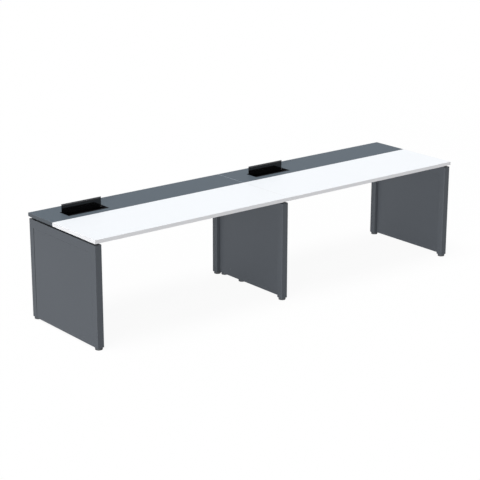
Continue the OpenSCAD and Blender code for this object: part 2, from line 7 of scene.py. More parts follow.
# %% Load the solids
import json
import math
import bmesh
import bpy
from mathutils import Euler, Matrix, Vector

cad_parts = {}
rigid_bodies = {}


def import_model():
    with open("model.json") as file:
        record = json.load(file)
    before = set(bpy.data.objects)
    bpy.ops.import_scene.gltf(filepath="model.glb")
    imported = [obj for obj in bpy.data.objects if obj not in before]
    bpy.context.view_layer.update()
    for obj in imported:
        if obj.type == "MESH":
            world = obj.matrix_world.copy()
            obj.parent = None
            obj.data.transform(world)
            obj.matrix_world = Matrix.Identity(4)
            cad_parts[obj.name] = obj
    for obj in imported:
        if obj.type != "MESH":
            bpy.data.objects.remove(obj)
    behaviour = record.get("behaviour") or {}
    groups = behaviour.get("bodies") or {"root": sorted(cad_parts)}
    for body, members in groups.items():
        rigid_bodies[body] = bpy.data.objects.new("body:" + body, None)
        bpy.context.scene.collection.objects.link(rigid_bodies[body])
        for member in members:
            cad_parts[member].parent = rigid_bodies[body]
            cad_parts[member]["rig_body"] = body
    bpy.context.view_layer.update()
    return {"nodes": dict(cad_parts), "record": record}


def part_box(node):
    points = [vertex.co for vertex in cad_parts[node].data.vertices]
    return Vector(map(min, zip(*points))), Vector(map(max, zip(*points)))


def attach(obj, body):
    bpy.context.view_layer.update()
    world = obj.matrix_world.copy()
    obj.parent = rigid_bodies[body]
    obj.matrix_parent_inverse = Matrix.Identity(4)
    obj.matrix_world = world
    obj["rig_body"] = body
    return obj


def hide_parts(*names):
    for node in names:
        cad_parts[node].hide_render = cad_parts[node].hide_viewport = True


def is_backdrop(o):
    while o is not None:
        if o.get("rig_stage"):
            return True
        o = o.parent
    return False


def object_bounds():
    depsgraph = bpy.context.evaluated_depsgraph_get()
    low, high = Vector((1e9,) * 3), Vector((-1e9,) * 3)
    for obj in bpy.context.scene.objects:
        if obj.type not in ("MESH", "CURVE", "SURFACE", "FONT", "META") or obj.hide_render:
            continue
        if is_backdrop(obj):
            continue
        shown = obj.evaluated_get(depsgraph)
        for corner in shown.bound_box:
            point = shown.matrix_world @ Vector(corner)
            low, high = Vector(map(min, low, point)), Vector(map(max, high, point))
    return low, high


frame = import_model()
MM = 0.001

# %% [markdown]
# Shader maths is easier to read as sums. A Wire holds one value inside a node tree, and adding or multiplying
# wires adds the Math nodes. A Graph makes any node from its type, its settings and its sockets' values.

# %% Node helpers
class Wire:
    """One value inside a node tree."""

    def __init__(self, graph, socket):
        self.graph, self.socket = graph, socket

    def maths(self, operation, a, b):
        return self.graph.node("ShaderNodeMath", {"operation": operation}, {0: a, 1: b})

    def __add__(self, other):
        return self.maths("ADD", self, other)

    def __sub__(self, other):
        return self.maths("SUBTRACT", self, other)

    def __rsub__(self, other):
        return self.maths("SUBTRACT", other, self)

    def __mul__(self, other):
        return self.maths("MULTIPLY", self, other)

    def __truediv__(self, other):
        return self.maths("DIVIDE", self, other)

    def __abs__(self):
        return self.maths("ABSOLUTE", self, 0.0)

    __radd__, __rmul__ = __add__, __mul__


class Graph:
    """A node tree, built node by node."""

    def __init__(self, tree):
        self.tree = tree
        self.tree.nodes.clear()

    def node(self, kind, settings=None, sockets=None, out=0):
        made = self.tree.nodes.new(kind)
        for name, value in (settings or {}).items():
            setattr(made, name, value)
        for name, value in (sockets or {}).items():
            if isinstance(value, Wire):
                self.tree.links.new(value.socket, made.inputs[name])
            else:
                made.inputs[name].default_value = value
        return Wire(self, made.outputs[out]) if made.outputs else made


print("node helpers ready")

# %% [markdown]
# A Finish is one material. It knows the few moves that all of this desk's finishes share: noise on the
# piece's own coordinates, a soft step, a blend of two colours, a bump, and the shader at the end. Each
# roughness below starts from a middle value, and the noises move it by the shares that are named there.

# %% Finish helper
class Finish(Graph):
    """One material of the desk."""

    def __init__(self, name):
        self.material = bpy.data.materials.new(name)
        self.material.use_nodes = True
        super().__init__(self.material.node_tree)

    def place(self):
        return self.node("ShaderNodeTexCoord", out="Object")

    def along(self, axis):
        return self.node("ShaderNodeSeparateXYZ", None, {"Vector": self.place()}, out=axis)

    def noise(self, scale, detail=2.0, stretch=None):
        at = self.place()
        if stretch:
            at = self.node("ShaderNodeMapping", None, {"Vector": at, "Scale": stretch})
        return self.node("ShaderNodeTexNoise", None, {"Vector": at, "Scale": scale, "Detail": detail})

    def ramp(self, value, low, high):
        return self.node("ShaderNodeMapRange", {"interpolation_type": "SMOOTHSTEP"},
                         {"Value": value, "From Min": low, "From Max": high})

    def blend(self, share, a, b):
        return self.node("ShaderNodeMix", {"data_type": "RGBA"}, {0: share, 6: a, 7: b}, out=2)

    def bump(self, height, strength, distance):
        return self.node("ShaderNodeBump", None,
                         {"Height": height, "Strength": strength, "Distance": distance})

    def close(self, sockets):
        shader = self.node("ShaderNodeBsdfPrincipled", None, sockets)
        self.node("ShaderNodeOutputMaterial", None, {"Surface": shader})
        return self.material


def tone(rgb, share):
    """The same colour, lighter or darker by a share."""
    return tuple(min(1.0, c * share) for c in rgb) + (1.0,)


print("finish helper ready")

# %% [markdown]
# Powder coat is sprayed on dry and baked. It flows out with a faint orange peel, a millimetre or two across,
# and its gloss wanders a little over a panel. A fine noise makes the peel, a slow one moves tone and gloss,
# and a very fine one leaves the odd lighter speck. Sheen is kept low, as on a fine-texture office finish.
# The joint beside an end leg's outer panel, where its fold meets the rear post, is painted dark as painted
# shade, the shade that falls in that narrow gap. It is told by its place on the leg.

# %% Powder-coated steel
PEEL_PER_M, PEEL_HEIGHT = 620.0, 0.4 * MM
CLOUD_PER_M, CLOUD_DETAIL, CLOUD_DRIFT = 2.4, 3.0, 0.04
SPECK_PER_M, SPECK_FROM, SPECK_FULL = 2600.0, 0.62, 0.78
SPECK_SHARE, SPECK_TONE = 0.2, 1.2
PAINT_BY_CLOUD, PAINT_BY_PEEL, PAINT_START = 0.08, 0.06, -0.07
PAINT_SHEEN = 0.2
FACE_X, FLANGE_Y = -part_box("left_outer_panel")[0].x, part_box("left_outer_panel")[1].y
# Where the painted joint shade lies, and how dark it is painted.
JOINT_STARTS, JOINT_ENDS = (0.05 * MM, 0.5 * MM), (18.0 * MM, 19.8 * MM)
JOINT_BEFORE, JOINT_BEHIND = (-3.2 * MM, -1.6 * MM), (3.2 * MM, 6.4 * MM)
JOINT_SHADE_TONE = 0.1


def painted_joint_shade(f):
    """Painted shade: how far a spot lies in the joint between an end leg's outer panel and its rear post, 0 to
    1.
    """
    inward = FACE_X - abs(f.along("X"))
    rearward = f.along("Y") - FLANGE_Y
    deep = f.ramp(inward, *JOINT_STARTS) * (1.0 - f.ramp(inward, *JOINT_ENDS))
    return deep * f.ramp(rearward, *JOINT_BEFORE) * (1.0 - f.ramp(rearward, *JOINT_BEHIND))


def powder_coat(name, rgb, gloss=0.46, peel_depth=0.16, joint=False):
    f = Finish(name)
    peel = f.noise(PEEL_PER_M)
    cloud = f.noise(CLOUD_PER_M, CLOUD_DETAIL)
    speck = f.ramp(f.noise(SPECK_PER_M, 0.0), SPECK_FROM, SPECK_FULL)
    colour = f.blend(cloud, tone(rgb, 1.0 - CLOUD_DRIFT), tone(rgb, 1.0 + CLOUD_DRIFT))
    colour = f.blend(speck * SPECK_SHARE, colour, tone(rgb, SPECK_TONE))
    if joint:
        # Painted shade in the joint beside an end leg's outer panel.
        colour = f.blend(painted_joint_shade(f), colour, tone(rgb, JOINT_SHADE_TONE))
    rough = cloud * PAINT_BY_CLOUD + peel * PAINT_BY_PEEL + (gloss + PAINT_START)
    return f.close({"Base Color": colour, "Roughness": rough, "Specular IOR Level": PAINT_SHEEN,
                    "Normal": f.bump(peel, peel_depth, PEEL_HEIGHT)})


LEG_GREY = (0.096, 0.106, 0.120)
FRAME_GREY = (0.042, 0.047, 0.053)
TRAY_GREY = (0.024, 0.026, 0.030)
TUB_BLACK = (0.007, 0.007, 0.008)
leg_paint = powder_coat("leg_powder_coat", LEG_GREY, joint=True)
beam_paint = powder_coat("beam_powder_coat", FRAME_GREY)
tray_paint = powder_coat("tray_powder_coat", TRAY_GREY, gloss=0.5)
tub_paint = powder_coat("tub_powder_coat", TUB_BLACK, gloss=0.6)
print("powder coats made")

# %% [markdown]
# The tops are melamine-faced board: printed paper under resin, pressed against a plate with a fine pearl
# texture. The pearl is under a millimetre across, so it softens reflections more than it shows. A slow
# cloud moves the tone by about one part in a hundred, which is what keeps a wide top from looking flat. The
# grey paper is the duller one, so the open flaps leave no dark mirror picture of themselves on it.

# %% Melamine tops
PEARL_PER_M, PEARL_HEIGHT, PEARL_DEPTH = 1500.0, 0.2 * MM, 0.08
TOP_CLOUD_PER_M, TOP_CLOUD_DETAIL = 1.7, 4.0
TOP_BY_PEARL, TOP_BY_CLOUD, TOP_START = 0.06, 0.05, -0.05


def melamine(name, rgb, gloss, drift, sheen):
    f = Finish(name)
    pearl = f.noise(PEARL_PER_M)
    cloud = f.noise(TOP_CLOUD_PER_M, TOP_CLOUD_DETAIL)
    colour = f.blend(cloud, tone(rgb, 1.0 - drift), tone(rgb, 1.0 + drift))
    rough = pearl * TOP_BY_PEARL + cloud * TOP_BY_CLOUD + (gloss + TOP_START)
    return f.close({"Base Color": colour, "Roughness": rough, "Specular IOR Level": sheen,
                    "Normal": f.bump(pearl, PEARL_DEPTH, PEARL_HEIGHT)})


WHITE = (0.900, 0.930, 0.965)
GREY = (0.108, 0.134, 0.160)
white_top = melamine("white_melamine", WHITE, gloss=0.38, drift=0.008, sheen=0.14)
grey_top = melamine("grey_melamine", GREY, gloss=0.46, drift=0.02, sheen=0.02)
print("melamine made")

# %% [markdown]
# The cut edges of a board are covered by a plastic band, glued on and scraped round at its corners.
# The scraped radius is painted lighter than the band's face: a little for the whitening of the scrape, and
# mostly as a painted highlight, strongest along the joint between the two grey tops, which reads as a thin
# light line.
# Fine drag lines run along the band.

# %% Edge bands
TOP_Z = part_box("white_top_left")[1].z
UNDER_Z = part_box("white_top_left")[0].z
SCRAPE, SCRAPE_FULL = 1.0 * MM, 0.2 * MM
JOINT_W = 2.0 * MM
AWAY_SHARE = 0.15
DRAG_PER_M, DRAG_STRETCH, DRAG_DEPTH = 240.0, (0.04, 0.04, 6.0), 0.05
BAND_BY_DRAG, BAND_BY_SCRAPE, BAND_ROUGH = 0.12, 0.1, 0.34
BAND_SHEEN = 0.14


def edge_band(name, rgb, scrape_and_highlight, lift):
    f = Finish(name)
    joint = 1.0 - f.ramp(abs(f.along("X")), JOINT_W, 2 * JOINT_W)
    # Painted highlight on the scraped radius, mostly along the seam of the grey tops, with a little scrape
    # whitening.
    scrape_and_highlight_mask = f.ramp(f.along("Z"), TOP_Z - SCRAPE, TOP_Z - SCRAPE_FULL)
    scrape_and_highlight_mask = scrape_and_highlight_mask * (joint * (1.0 - AWAY_SHARE) + AWAY_SHARE)
    drag = f.noise(DRAG_PER_M, stretch=DRAG_STRETCH)
    colour = f.blend(scrape_and_highlight_mask * scrape_and_highlight, tone(rgb, 1.0), tone(rgb, lift))
    rough = drag * BAND_BY_DRAG + scrape_and_highlight_mask * BAND_BY_SCRAPE + BAND_ROUGH
    return f.close({"Base Color": colour, "Roughness": rough, "Specular IOR Level": BAND_SHEEN,
                    "Normal": f.bump(drag, DRAG_DEPTH, PEARL_HEIGHT)})


BAND_WHITE = (0.775, 0.78, 0.80)
BAND_GREY = (0.090, 0.102, 0.116)
# lift says how much lighter the radius is painted, most of all on the grey band.
white_band = edge_band("white_edge_band", BAND_WHITE, scrape_and_highlight=0.2, lift=1.05)
grey_band = edge_band("grey_edge_band", BAND_GREY, scrape_and_highlight=1.0, lift=4.0)
print("tops from", round(UNDER_Z, 4), "to", round(TOP_Z, 4))

# %% [markdown]
# The small dark pieces are moulded. The flap's frame and the spacers are matt plastic with a spark-eroded
# grain, the feet are a harder grey plastic, and the lip along the flap is soft rubber with a finer grain.
# The lip's crown is painted lighter than its face, a painted highlight where the light from above falls on it.

# %% Plastics and rubber
SPARK_DETAIL, BLUSH_PER_M, BLUSH_DRIFT = 3.0, 9.0, 0.08
PLASTIC_BY_SPARK, PLASTIC_BY_BLUSH, PLASTIC_START = 0.1, 0.06, -0.08
LIP_CROWN, CROWN_HIGHLIGHT_TONE, CROWN_BLUR = 9.5 * MM, 7.5, 0.5 * MM


def moulded(name, rgb, gloss, grain=1700.0, depth=0.12, sheen=PAINT_SHEEN, highlight_above=None):
    f = Finish(name)
    spark = f.noise(grain, SPARK_DETAIL)
    blush = f.noise(BLUSH_PER_M)
    colour = f.blend(blush, tone(rgb, 1.0 - BLUSH_DRIFT), tone(rgb, 1.0 + BLUSH_DRIFT))
    if highlight_above:
        # Painted highlight: the crown is painted lighter, where the light from above falls on it.
        above = f.ramp(f.along("Z"), highlight_above - CROWN_BLUR, highlight_above + CROWN_BLUR)
        colour = f.blend(above, colour, tone(rgb, CROWN_HIGHLIGHT_TONE))
    rough = spark * PLASTIC_BY_SPARK + blush * PLASTIC_BY_BLUSH + (gloss + PLASTIC_START)
    return f.close({"Base Color": colour, "Roughness": rough, "Specular IOR Level": sheen,
                    "Normal": f.bump(spark, depth, PEEL_HEIGHT)})


BOX_BLACK = (0.005, 0.005, 0.006)
SPACER_BLACK = (0.022, 0.024, 0.027)
FOOT_GREY = (0.090, 0.096, 0.104)
LIP_DARK = (0.0115, 0.012, 0.013)
box_black = moulded("box_black_plastic", BOX_BLACK, gloss=0.62, sheen=0.04)
spacer_black = moulded("spacer_plastic", SPACER_BLACK, gloss=0.55)
foot_grey = moulded("foot_plastic", FOOT_GREY, gloss=0.5)
lip_grey = moulded("lip_rubber", LIP_DARK, gloss=0.62, grain=2400.0, depth=0.2,
                   highlight_above=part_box("flap_lip_left")[1].z - LIP_CROWN)
print("plastics made")

# %% [markdown]
# The flap is a plate with a deep black gloss, so it shows the opening and the grey top upside down. Such a
# finish is lacquer over black, denser than plain plastic, so its index is high. Fingers leave a faint bloom,
# made here as a slow change in roughness, and a few dust specks lie on it.

# %% Gloss black plate
BLOOM_PER_M, BLOOM_DETAIL, BLOOM_FROM, BLOOM_FULL = 14.0, 4.0, 0.45, 0.8
DUST_PER_M, DUST_DETAIL, DUST_FROM, DUST_FULL = 3200.0, 1.0, 0.68, 0.8
DUST_SHARE, DUST_TONE = 0.2, 3.0
PLATE_BLACK = (0.004, 0.004, 0.0045)
PLATE_INDEX, PLATE_ROUGH, BLOOM_ROUGH = 1.85, 0.05, 0.06

plate = Finish("gloss_black_plate")
bloom = plate.ramp(plate.noise(BLOOM_PER_M, BLOOM_DETAIL), BLOOM_FROM, BLOOM_FULL)
dust = plate.ramp(plate.noise(DUST_PER_M, DUST_DETAIL), DUST_FROM, DUST_FULL)
colour = plate.blend(dust * DUST_SHARE, tone(PLATE_BLACK, 1.0), tone(PLATE_BLACK, DUST_TONE))
flap_black = plate.close({"Base Color": colour, "Roughness": bloom * BLOOM_ROUGH + PLATE_ROUGH,
                          "IOR": PLATE_INDEX})
print("flap finish made")

# %% [markdown]
# Screws and bolts are zinc plated: bright, a little blue, with a patchy crystal sheen. The studs of the feet
# are turned, so their fine lines run round the shank instead.

# %% Plated steel
LINES_PER_M, LINES_DETAIL, LINES_DEPTH = 420.0, 3.0, 0.06
PATCH_PER_M, PATCH_DARK, PATCH_LIGHT = 160.0, 0.82, 1.1
STEEL_BY_LINES, STEEL_START = 0.18, -0.09


def plated(name, rgb, gloss, stretch):
    f = Finish(name)
    lines = f.noise(LINES_PER_M, LINES_DETAIL, stretch)
    colour = f.blend(f.noise(PATCH_PER_M), tone(rgb, PATCH_DARK), tone(rgb, PATCH_LIGHT))
    return f.close({"Base Color": colour, "Metallic": 1.0,
                    "Roughness": lines * STEEL_BY_LINES + (gloss + STEEL_START),
                    "Normal": f.bump(lines, LINES_DEPTH, PEARL_HEIGHT)})


ZINC = (0.58, 0.60, 0.62)
STEEL = (0.62, 0.62, 0.63)
zinc = plated("zinc_plate", ZINC, gloss=0.34, stretch=(1.0, 1.0, 1.0))
turned_steel = plated("turned_steel", STEEL, gloss=0.28, stretch=(0.1, 0.1, 7.0))
print("plated steel made")

# %% [markdown]
# The record gives every solid a slot, the name of the finish that it has on the real desk. This table says
# which finish made above belongs to each slot.

# %% Finish of each slot
LOOKS = {
    "white_top": white_top, "white_band": white_band, "grey_top": grey_top, "grey_band": grey_band,
    "leg_paint": leg_paint, "beam_paint": beam_paint, "tray_paint": tray_paint,
    "box_black": box_black, "tub_black": tub_paint, "flap_black": flap_black,
    "lip_rubber": lip_grey, "foot_plastic": foot_grey, "black_plastic": spacer_black,
    "zinc_steel": zinc, "stud_steel": turned_steel,
}
print("finishes:", len(LOOKS))

# %% [markdown]
# Every new piece stands for one of the solids. It takes that solid's body, so that it moves with it, and the
# finish that the record gives it. A piece is drawn in place, so its object stays at the origin. Beside a
# small rounded edge a flat face would look swollen, so the shading leans on the larger faces.

# %% Put a piece in the desk
SLOT_OF = {row["node"]: row["material_slot"] for row in frame["record"]["subparts"]}
SMOOTH_BELOW = math.radians(38.0)
LEAN_ON_LARGE = 100
MERGE = 0.001 * MM


def new_object(name, data):
    made = bpy.data.objects.new(name, data)
    bpy.context.scene.collection.objects.link(made)
    return made


def new_piece(node, mesh):
    """A piece that is to stand for a node."""
    return new_object(node + "_skin", mesh)


def closed_mesh(work, name):
    """Turns a bmesh into a mesh with its faces outwards."""
    bmesh.ops.remove_doubles(work, verts=work.verts, dist=MERGE)
    bmesh.ops.recalc_face_normals(work, faces=work.faces)
    mesh = bpy.data.meshes.new(name)
    work.to_mesh(mesh)
    work.free()
    return mesh


def plain_mesh(piece):
    """Works the piece's modifiers into its mesh."""
    graph = bpy.context.evaluated_depsgraph_get()
    mesh = bpy.data.meshes.new_from_object(piece.evaluated_get(graph))
    piece.modifiers.clear()
    piece.data = mesh
    return piece


def settle(piece, node):
    """Gives a finished piece the body and the finish of the solid that it stands for."""
    mesh = piece.data
    mesh.materials.clear()
    mesh.materials.append(LOOKS[SLOT_OF[node]])
    for face in mesh.polygons:
        face.use_smooth, face.material_index = True, 0
    mesh.set_sharp_from_angle(angle=SMOOTH_BELOW)
    shading = piece.modifiers.new("flat faces stay flat", "WEIGHTED_NORMAL")
    shading.weight, shading.keep_sharp = LEAN_ON_LARGE, True
    plain_mesh(piece)
    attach(piece, frame["nodes"][node]["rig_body"])
    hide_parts(node)


print("solids with a finish:", len(SLOT_OF))

# %% [markdown]
# Sheet metal is folded over a tool and tubes are drawn, so no edge on them is knife sharp. A copy of the
# solid is merged to whole faces, and its long edges get a small radius. The rims of holes are left out,
# because a punch leaves them crisp. The two upright folds of a panel, where its face turns into its side
# flanges, are wider, and they come first.

# %% Round the edges of a solid
MERGE_SOLID = 0.002 * MM
FLAT, SHARP = math.radians(0.6), math.radians(50)
HOLE_RIM = 26 * MM
NEAR = 0.1 * MM
ROUND_STEPS, FOLD_STEPS = 2, 4


def long_edges(work):
    """The sharp edges of a mesh, without those that only go round a small hole."""
    sharp = {e for e in work.edges if len(e.link_faces) == 2 and e.calc_face_angle(0.0) > SHARP}
    kept = []
    while sharp:
        chain, stack = [], [sharp.pop()]
        while stack:
            edge = stack.pop()
            chain.append(edge)
            for vert in edge.verts:
                near = [e for e in vert.link_edges if e in sharp]
                sharp.difference_update(near)
                stack.extend(near)
        corners = [v.co for e in chain for v in e.verts]
        size = max(max(c[i] for c in corners) - min(c[i] for c in corners) for i in range(3))
        if size > HOLE_RIM:
            kept += chain
    return kept


def fold_edges(work, side):
    """The two upright edges where a panel's face turns into its side flanges."""
    ys = [v.co.y for v in work.verts]
    face_x = side * max(side * v.co.x for v in work.verts)

    def on_fold(vert):
        at_side = vert.co.y < min(ys) + NEAR or vert.co.y > max(ys) - NEAR
        return abs(vert.co.x - face_x) < NEAR and at_side

    return [e for e in work.edges
            if all(on_fold(v) for v in e.verts) and abs(e.verts[0].co.y - e.verts[1].co.y) < NEAR]


def round_off(work, edges, radius, steps):
    bmesh.ops.bevel(work, geom=edges, offset=radius, offset_type="OFFSET", segments=steps, profile=0.5,
                    affect="EDGES", clamp_overlap=True)


def rounded(node, radius, fold=None):
    """A copy of a solid with rounded long edges. A fold is given by its side and its radius."""
    mesh = frame["nodes"][node].data.copy()
    work = bmesh.new()
    work.from_mesh(mesh)
    bmesh.ops.remove_doubles(work, verts=work.verts, dist=MERGE_SOLID)
    bmesh.ops.dissolve_limit(work, angle_limit=FLAT, verts=work.verts, edges=work.edges)
    if fold:
        side, fold_radius = fold
        round_off(work, fold_edges(work, side), fold_radius, FOLD_STEPS)
    edges = long_edges(work)
    round_off(work, edges, radius, ROUND_STEPS)
    work.to_mesh(mesh)
    work.free()
    print(node, "edges:", len(edges), "faces:", len(mesh.polygons))
    return new_piece(node, mesh)


print("rims of holes up to", HOLE_RIM / MM, "mm wide stay crisp")

# %% [markdown]
# The steelwork: leg frames, panels, beams, trays, straps, tubs and the riser. A drawn tube gets the largest
# radius, and folded sheet a radius of less than half its thickness. The flap's frame is a moulding and the
# flap a plate, and both have their edges eased the same way.

# %% Steelwork and flaps
EDGE_RADIUS = {
    0.9: ["left_leg_frame", "mid_leg_frame", "right_leg_frame"],
    0.7: ["front_beam_left", "front_beam_right", "seam_beam_left", "seam_beam_right",
          "rear_beam_left", "rear_beam_right", "tray_brackets"],
    0.5: ["left_outer_panel", "left_inner_panel", "mid_leg_panel", "right_outer_panel",
          "right_inner_panel", "riser_channel", "riser_cover", "cable_tray_left", "cable_tray_right",
          "cable_tub_left", "cable_tub_right"],
    0.4: ["flap_left", "flap_right", "flap_frame_left", "flap_frame_right"],
}
FOLD_RADIUS = 3.0 * MM
FOLDS = {"left_outer_panel": -1, "mid_leg_panel": -1, "right_outer_panel": 1}
for radius, nodes in EDGE_RADIUS.items():
    for node in nodes:
        fold = (FOLDS[node], FOLD_RADIUS) if node in FOLDS else None
        settle(rounded(node, radius * MM, fold), node)

# %% [markdown]
# Some nodes hold many like solids, such as the bands, the screws and the spacers. The pieces that stand for
# them are drawn from the solids' own places and sizes. Corners that hang together by edges are one solid.

# %% Take a node's solids apart
def solids_of(node):
    """The separate solids of a node, each as a list of its corners."""
    work = bmesh.new()
    work.from_mesh(frame["nodes"][node].data)
    bmesh.ops.remove_doubles(work, verts=work.verts, dist=MERGE_SOLID)
    seen, groups = set(), []
    for start in work.verts:
        if start in seen:
            continue
        seen.add(start)
        stack, group = [start], []
        while stack:
            vert = stack.pop()
            group.append(vert.co.copy())
            near = [e.other_vert(vert) for e in vert.link_edges]
            stack.extend(v for v in near if v not in seen)
            seen.update(near)
        groups.append(group)
    work.free()
    return groups


def box_of(corners):
    """The lowest and highest corner of a list of points."""
    return (Vector(min(c[i] for c in corners) for i in range(3)),
            Vector(max(c[i] for c in corners) for i in range(3)))


def round_of(low, high):
    """The radius of an upright round solid and the place of its axis, from its box."""
    return (high.x - low.x) / 2, (low.x + high.x) / 2, (low.y + high.y) / 2


def reach_by_level(corners, axis):
    """How far a solid's corners reach out from its axis, at each level along it."""
    low, high = box_of(corners)
    middle = (low + high) / 2
    reach = {}
    for c in corners:
        out = math.hypot(*(c[i] - middle[i] for i in range(3) if i != axis))
        level = round(c[axis], 6)
        reach[level] = max(reach.get(level, 0.0), out)
    return reach


print("solids in the spacers:", len(solids_of("top_spacers")))

# %% [markdown]
# An edge band is one strip that runs round the board. Its section has two scraped corners on the outside and
# square ones against the board. At each corner of the board the section is swung round, so the plan corner
# gets the band's own thickness as its radius.

# %% Bands round the boards
SCRAPE_STEPS, SWING_STEPS = 4, 6
SCRAPES = {"white_bands": 0.5 * MM, "rear_bands": SCRAPE}
BAND_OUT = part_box("white_top_left")[0].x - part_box("white_bands")[0].x


def arc(start, steps, sweep=90):
    """Angles in radians from a start in degrees, both ends included."""
    return [math.radians(start + sweep * i / steps) for i in range(steps + 1)]


def band_section(low, high, out, radius):
    """The band's section as (distance from the board, height), from the bottom inner corner round."""
    section = [(0.0, low)]
    for centre_z, start in ((low + radius, -90), (high - radius, 0)):
        section += [(out - radius + radius * math.cos(a), centre_z + radius * math.sin(a))
                    for a in arc(start, SCRAPE_STEPS)]
    return section + [(0.0, high)]


def add_band(work, low, high, out, radius):
    """Adds the band of one board, whose outer box is given, to a bmesh."""
    corners = [(high.x - out, high.y - out, 0), (low.x + out, high.y - out, 90),
               (low.x + out, low.y + out, 180), (high.x - out, low.y + out, 270)]
    section = band_section(low.z, high.z, out, radius)
    rows = [[work.verts.new((x + d * math.cos(a), y + d * math.sin(a), z)) for d, z in section]
            for x, y, start in corners for a in arc(start, SWING_STEPS)]
    for row, after in zip(rows, rows[1:] + rows[:1]):
        for j in range(len(section)):
            k = (j + 1) % len(section)
            work.faces.new((row[j], after[j], after[k], row[k]))


for node, radius in SCRAPES.items():
    work = bmesh.new()
    for corners in solids_of(node):
        add_band(work, *box_of(corners), BAND_OUT, radius)
    settle(new_piece(node, closed_mesh(work, node)), node)
    print(node, "band thickness in mm:", round(BAND_OUT / MM, 2))

# %% [markdown]
# The lip is an extruded rubber strip along the flap's free edge. Its section has a rounded crest, three fine
# grooves on the face, and a bead below that shuts against the plate. The section is drawn once and pulled
# along the flap, which is how an extrusion is made.

# %% Lips of the flaps
GROOVES = (0.30, 0.52, 0.74)
GROOVE_W, GROOVE_IN = 0.9 * MM, 0.5 * MM
CREST_STEPS, CREST_FLAT = 6, 0.2 * MM
STRIP_BACK = 1 * MM
BEAD_ROUND, BEAD_SHORT, BEAD_THIN, BEAD_UP = 1 * MM, 7 * MM, 3.5 * MM, 1 * MM


def pull_along_x(work, section, x0, x1):
    """Pulls a closed (y, z) section from x0 to x1."""
    ends = [[work.verts.new((x, y, z)) for y, z in section] for x in (x0, x1)]
    for j in range(len(section)):
        k = (j + 1) % len(section)
        work.faces.new((ends[0][j], ends[1][j], ends[1][k], ends[0][k]))
    work.faces.new(ends[0][::-1])
    work.faces.new(ends[1])


def strip_section(front, back, low, high):
    """The lip's strip: a rounded crest above, grooves down its front face."""
    middle, half = (front + back) / 2, (back - front) / 2
    rise = half - CREST_FLAT
    section = [(middle + half * math.cos(a), high - rise + rise * math.sin(a))
               for a in arc(0, CREST_STEPS, 180)]
    for share in GROOVES:
        z = high - share * (high - low)
        section += [(front, z + GROOVE_W / 2), (front + GROOVE_IN, z + GROOVE_W / 4),
                    (front + GROOVE_IN, z - GROOVE_W / 4), (front, z - GROOVE_W / 2)]
    return section + [(front, low), (back, low)]


def bead_section(front, back, low, high):
    """The bead under the strip, a flat-backed roll."""
    middle, reach = (low + high) / 2, (high - low) / 2
    roll = [(front + BEAD_ROUND + BEAD_ROUND * math.cos(a), middle + reach * math.sin(a))
            for a in arc(90, CREST_STEPS, 180)]
    return [(back, high)] + roll + [(back, low)]


for side in ("left", "right"):
    node = "flap_lip_" + side
    low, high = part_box(node)
    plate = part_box("flap_" + side)
    strip_low = plate[1].z
    work = bmesh.new()
    pull_along_x(work, strip_section(low.y + STRIP_BACK, high.y, strip_low, high.z), low.x, high.x)
    pull_along_x(work, bead_section(low.y, high.y - BEAD_THIN, low.z, strip_low + BEAD_UP),
                 low.x + BEAD_SHORT, high.x - BEAD_SHORT)
    settle(new_piece(node, closed_mesh(work, node)), node)
    print(node, "face height in mm:", round((high.z - strip_low) / MM, 1))

# %% [markdown]
# A round piece is turned or moulded about an axis. A section of it is drawn from the axis out and back, and
# spun about that axis. Points on the axis stay single, so that the middle is closed and has no seam.

# %% Spin a section into a round piece
SPIN_STEPS = 48
ON_AXIS = 0.01 * MM


def spin(work, section, x, y):
    """Spins an open (radius, z) section about a vertical axis and closes it at its ends."""
    turns = [2 * math.pi * i / SPIN_STEPS for i in range(SPIN_STEPS)]
    rings = []
    for radius, z in section:
        if radius < ON_AXIS:
            rings.append([work.verts.new((x, y, z))])
        else:
            rings.append([work.verts.new((x + radius * math.cos(a), y + radius * math.sin(a), z))
                          for a in turns])
    for ring, after in zip(rings, rings[1:]):
        for i in range(SPIN_STEPS):
            k = (i + 1) % SPIN_STEPS
            corners = [ring[i % len(ring)], ring[k % len(ring)],
                       after[k % len(after)], after[i % len(after)]]
            face = list(dict.fromkeys(corners))
            if len(face) > 2:
                work.faces.new(face)


print("steps in a turn:", SPIN_STEPS)

# %% [markdown]
# A foot is a moulded disc under each post, with a bore for the stud's pivot. The riser stands on two of the
# same size, each with a short pin that goes up into it. The rim that meets the floor is well rounded, because
# a desk is pushed about on it, and the underside is hollowed, so that the foot stands on a ring.

# %% Feet
LEGS = [leg + "_" + end for leg in ("left", "mid", "right") for end in ("front", "rear")]
RIM, RIM_STEPS = 2.4 * MM, 5
HOLLOW_DEEP, HOLLOW_FLAT, HOLLOW_OUT = 0.8 * MM, 0.55, 0.6
FOOT_EASE = 0.5 * MM
BORE_R, BORE_FLOOR = 6.05 * MM, 4 * MM
PIN_R, PIN_EASE = 4 * MM, 0.6 * MM


def foot_section(radius, height):
    """A foot from the middle of its underside out, up its side and in over its top."""
    hollow = [(0, HOLLOW_DEEP), (HOLLOW_FLAT * radius, HOLLOW_DEEP), (HOLLOW_OUT * radius, 0)]
    rim = [(radius - RIM + RIM * math.cos(a), RIM + RIM * math.sin(a)) for a in arc(-90, RIM_STEPS)]
    return hollow + rim + [(radius, height - FOOT_EASE), (radius - FOOT_EASE, height)]


